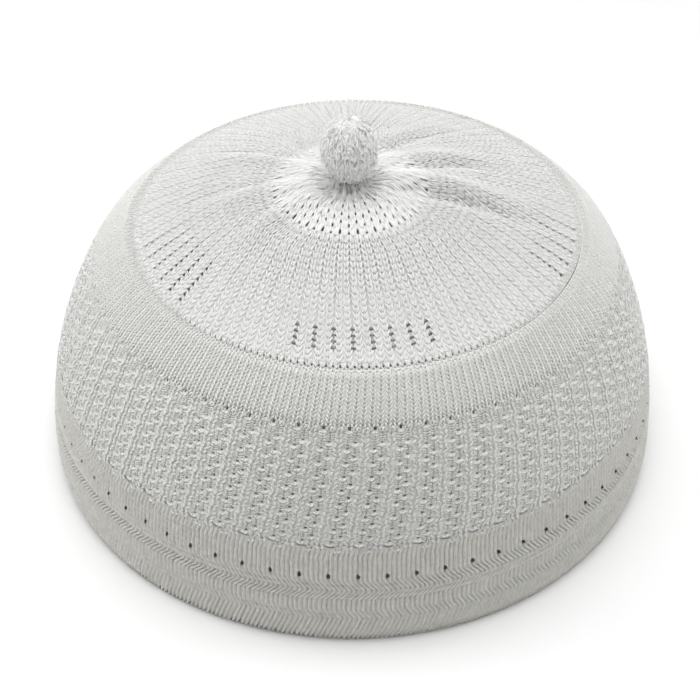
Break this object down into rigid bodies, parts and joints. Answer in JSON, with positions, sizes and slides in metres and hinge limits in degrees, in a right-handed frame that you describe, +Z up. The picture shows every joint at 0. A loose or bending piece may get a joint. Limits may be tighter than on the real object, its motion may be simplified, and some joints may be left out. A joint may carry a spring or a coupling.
{
  "type": "knitted kufi cap",
  "caption": "Round brimless skull cap of white elastic knit, with an openwork side band, a thicker zigzag-knit hem band and a knitted ball on the gathered crown.",
  "frame": {"origin": "centre of the bottom edge of the hem band, on the surface that the cap stands on", "axes": "+Z up along the cap's height to the ball, -Y towards the side that faces the picture's camera, +X to that camera's right"},
  "size_m": [0.18, 0.18, 0.1077],
  "materials": {
    "crown_knit": "matt off-white knit of stocking stitch columns with ladder columns between them",
    "side_knit": "matt off-white stocking stitch and openwork knit",
    "hem_knit": "matt off-white racked knit with zigzag columns",
    "button_knit": "matt off-white knitted ball"
  },
  "bodies": {
    "root": {"crown": "crown_knit", "side_band": "side_knit", "hem_band": "hem_knit", "top_button": "button_knit"}
  },
  "joints": []
}
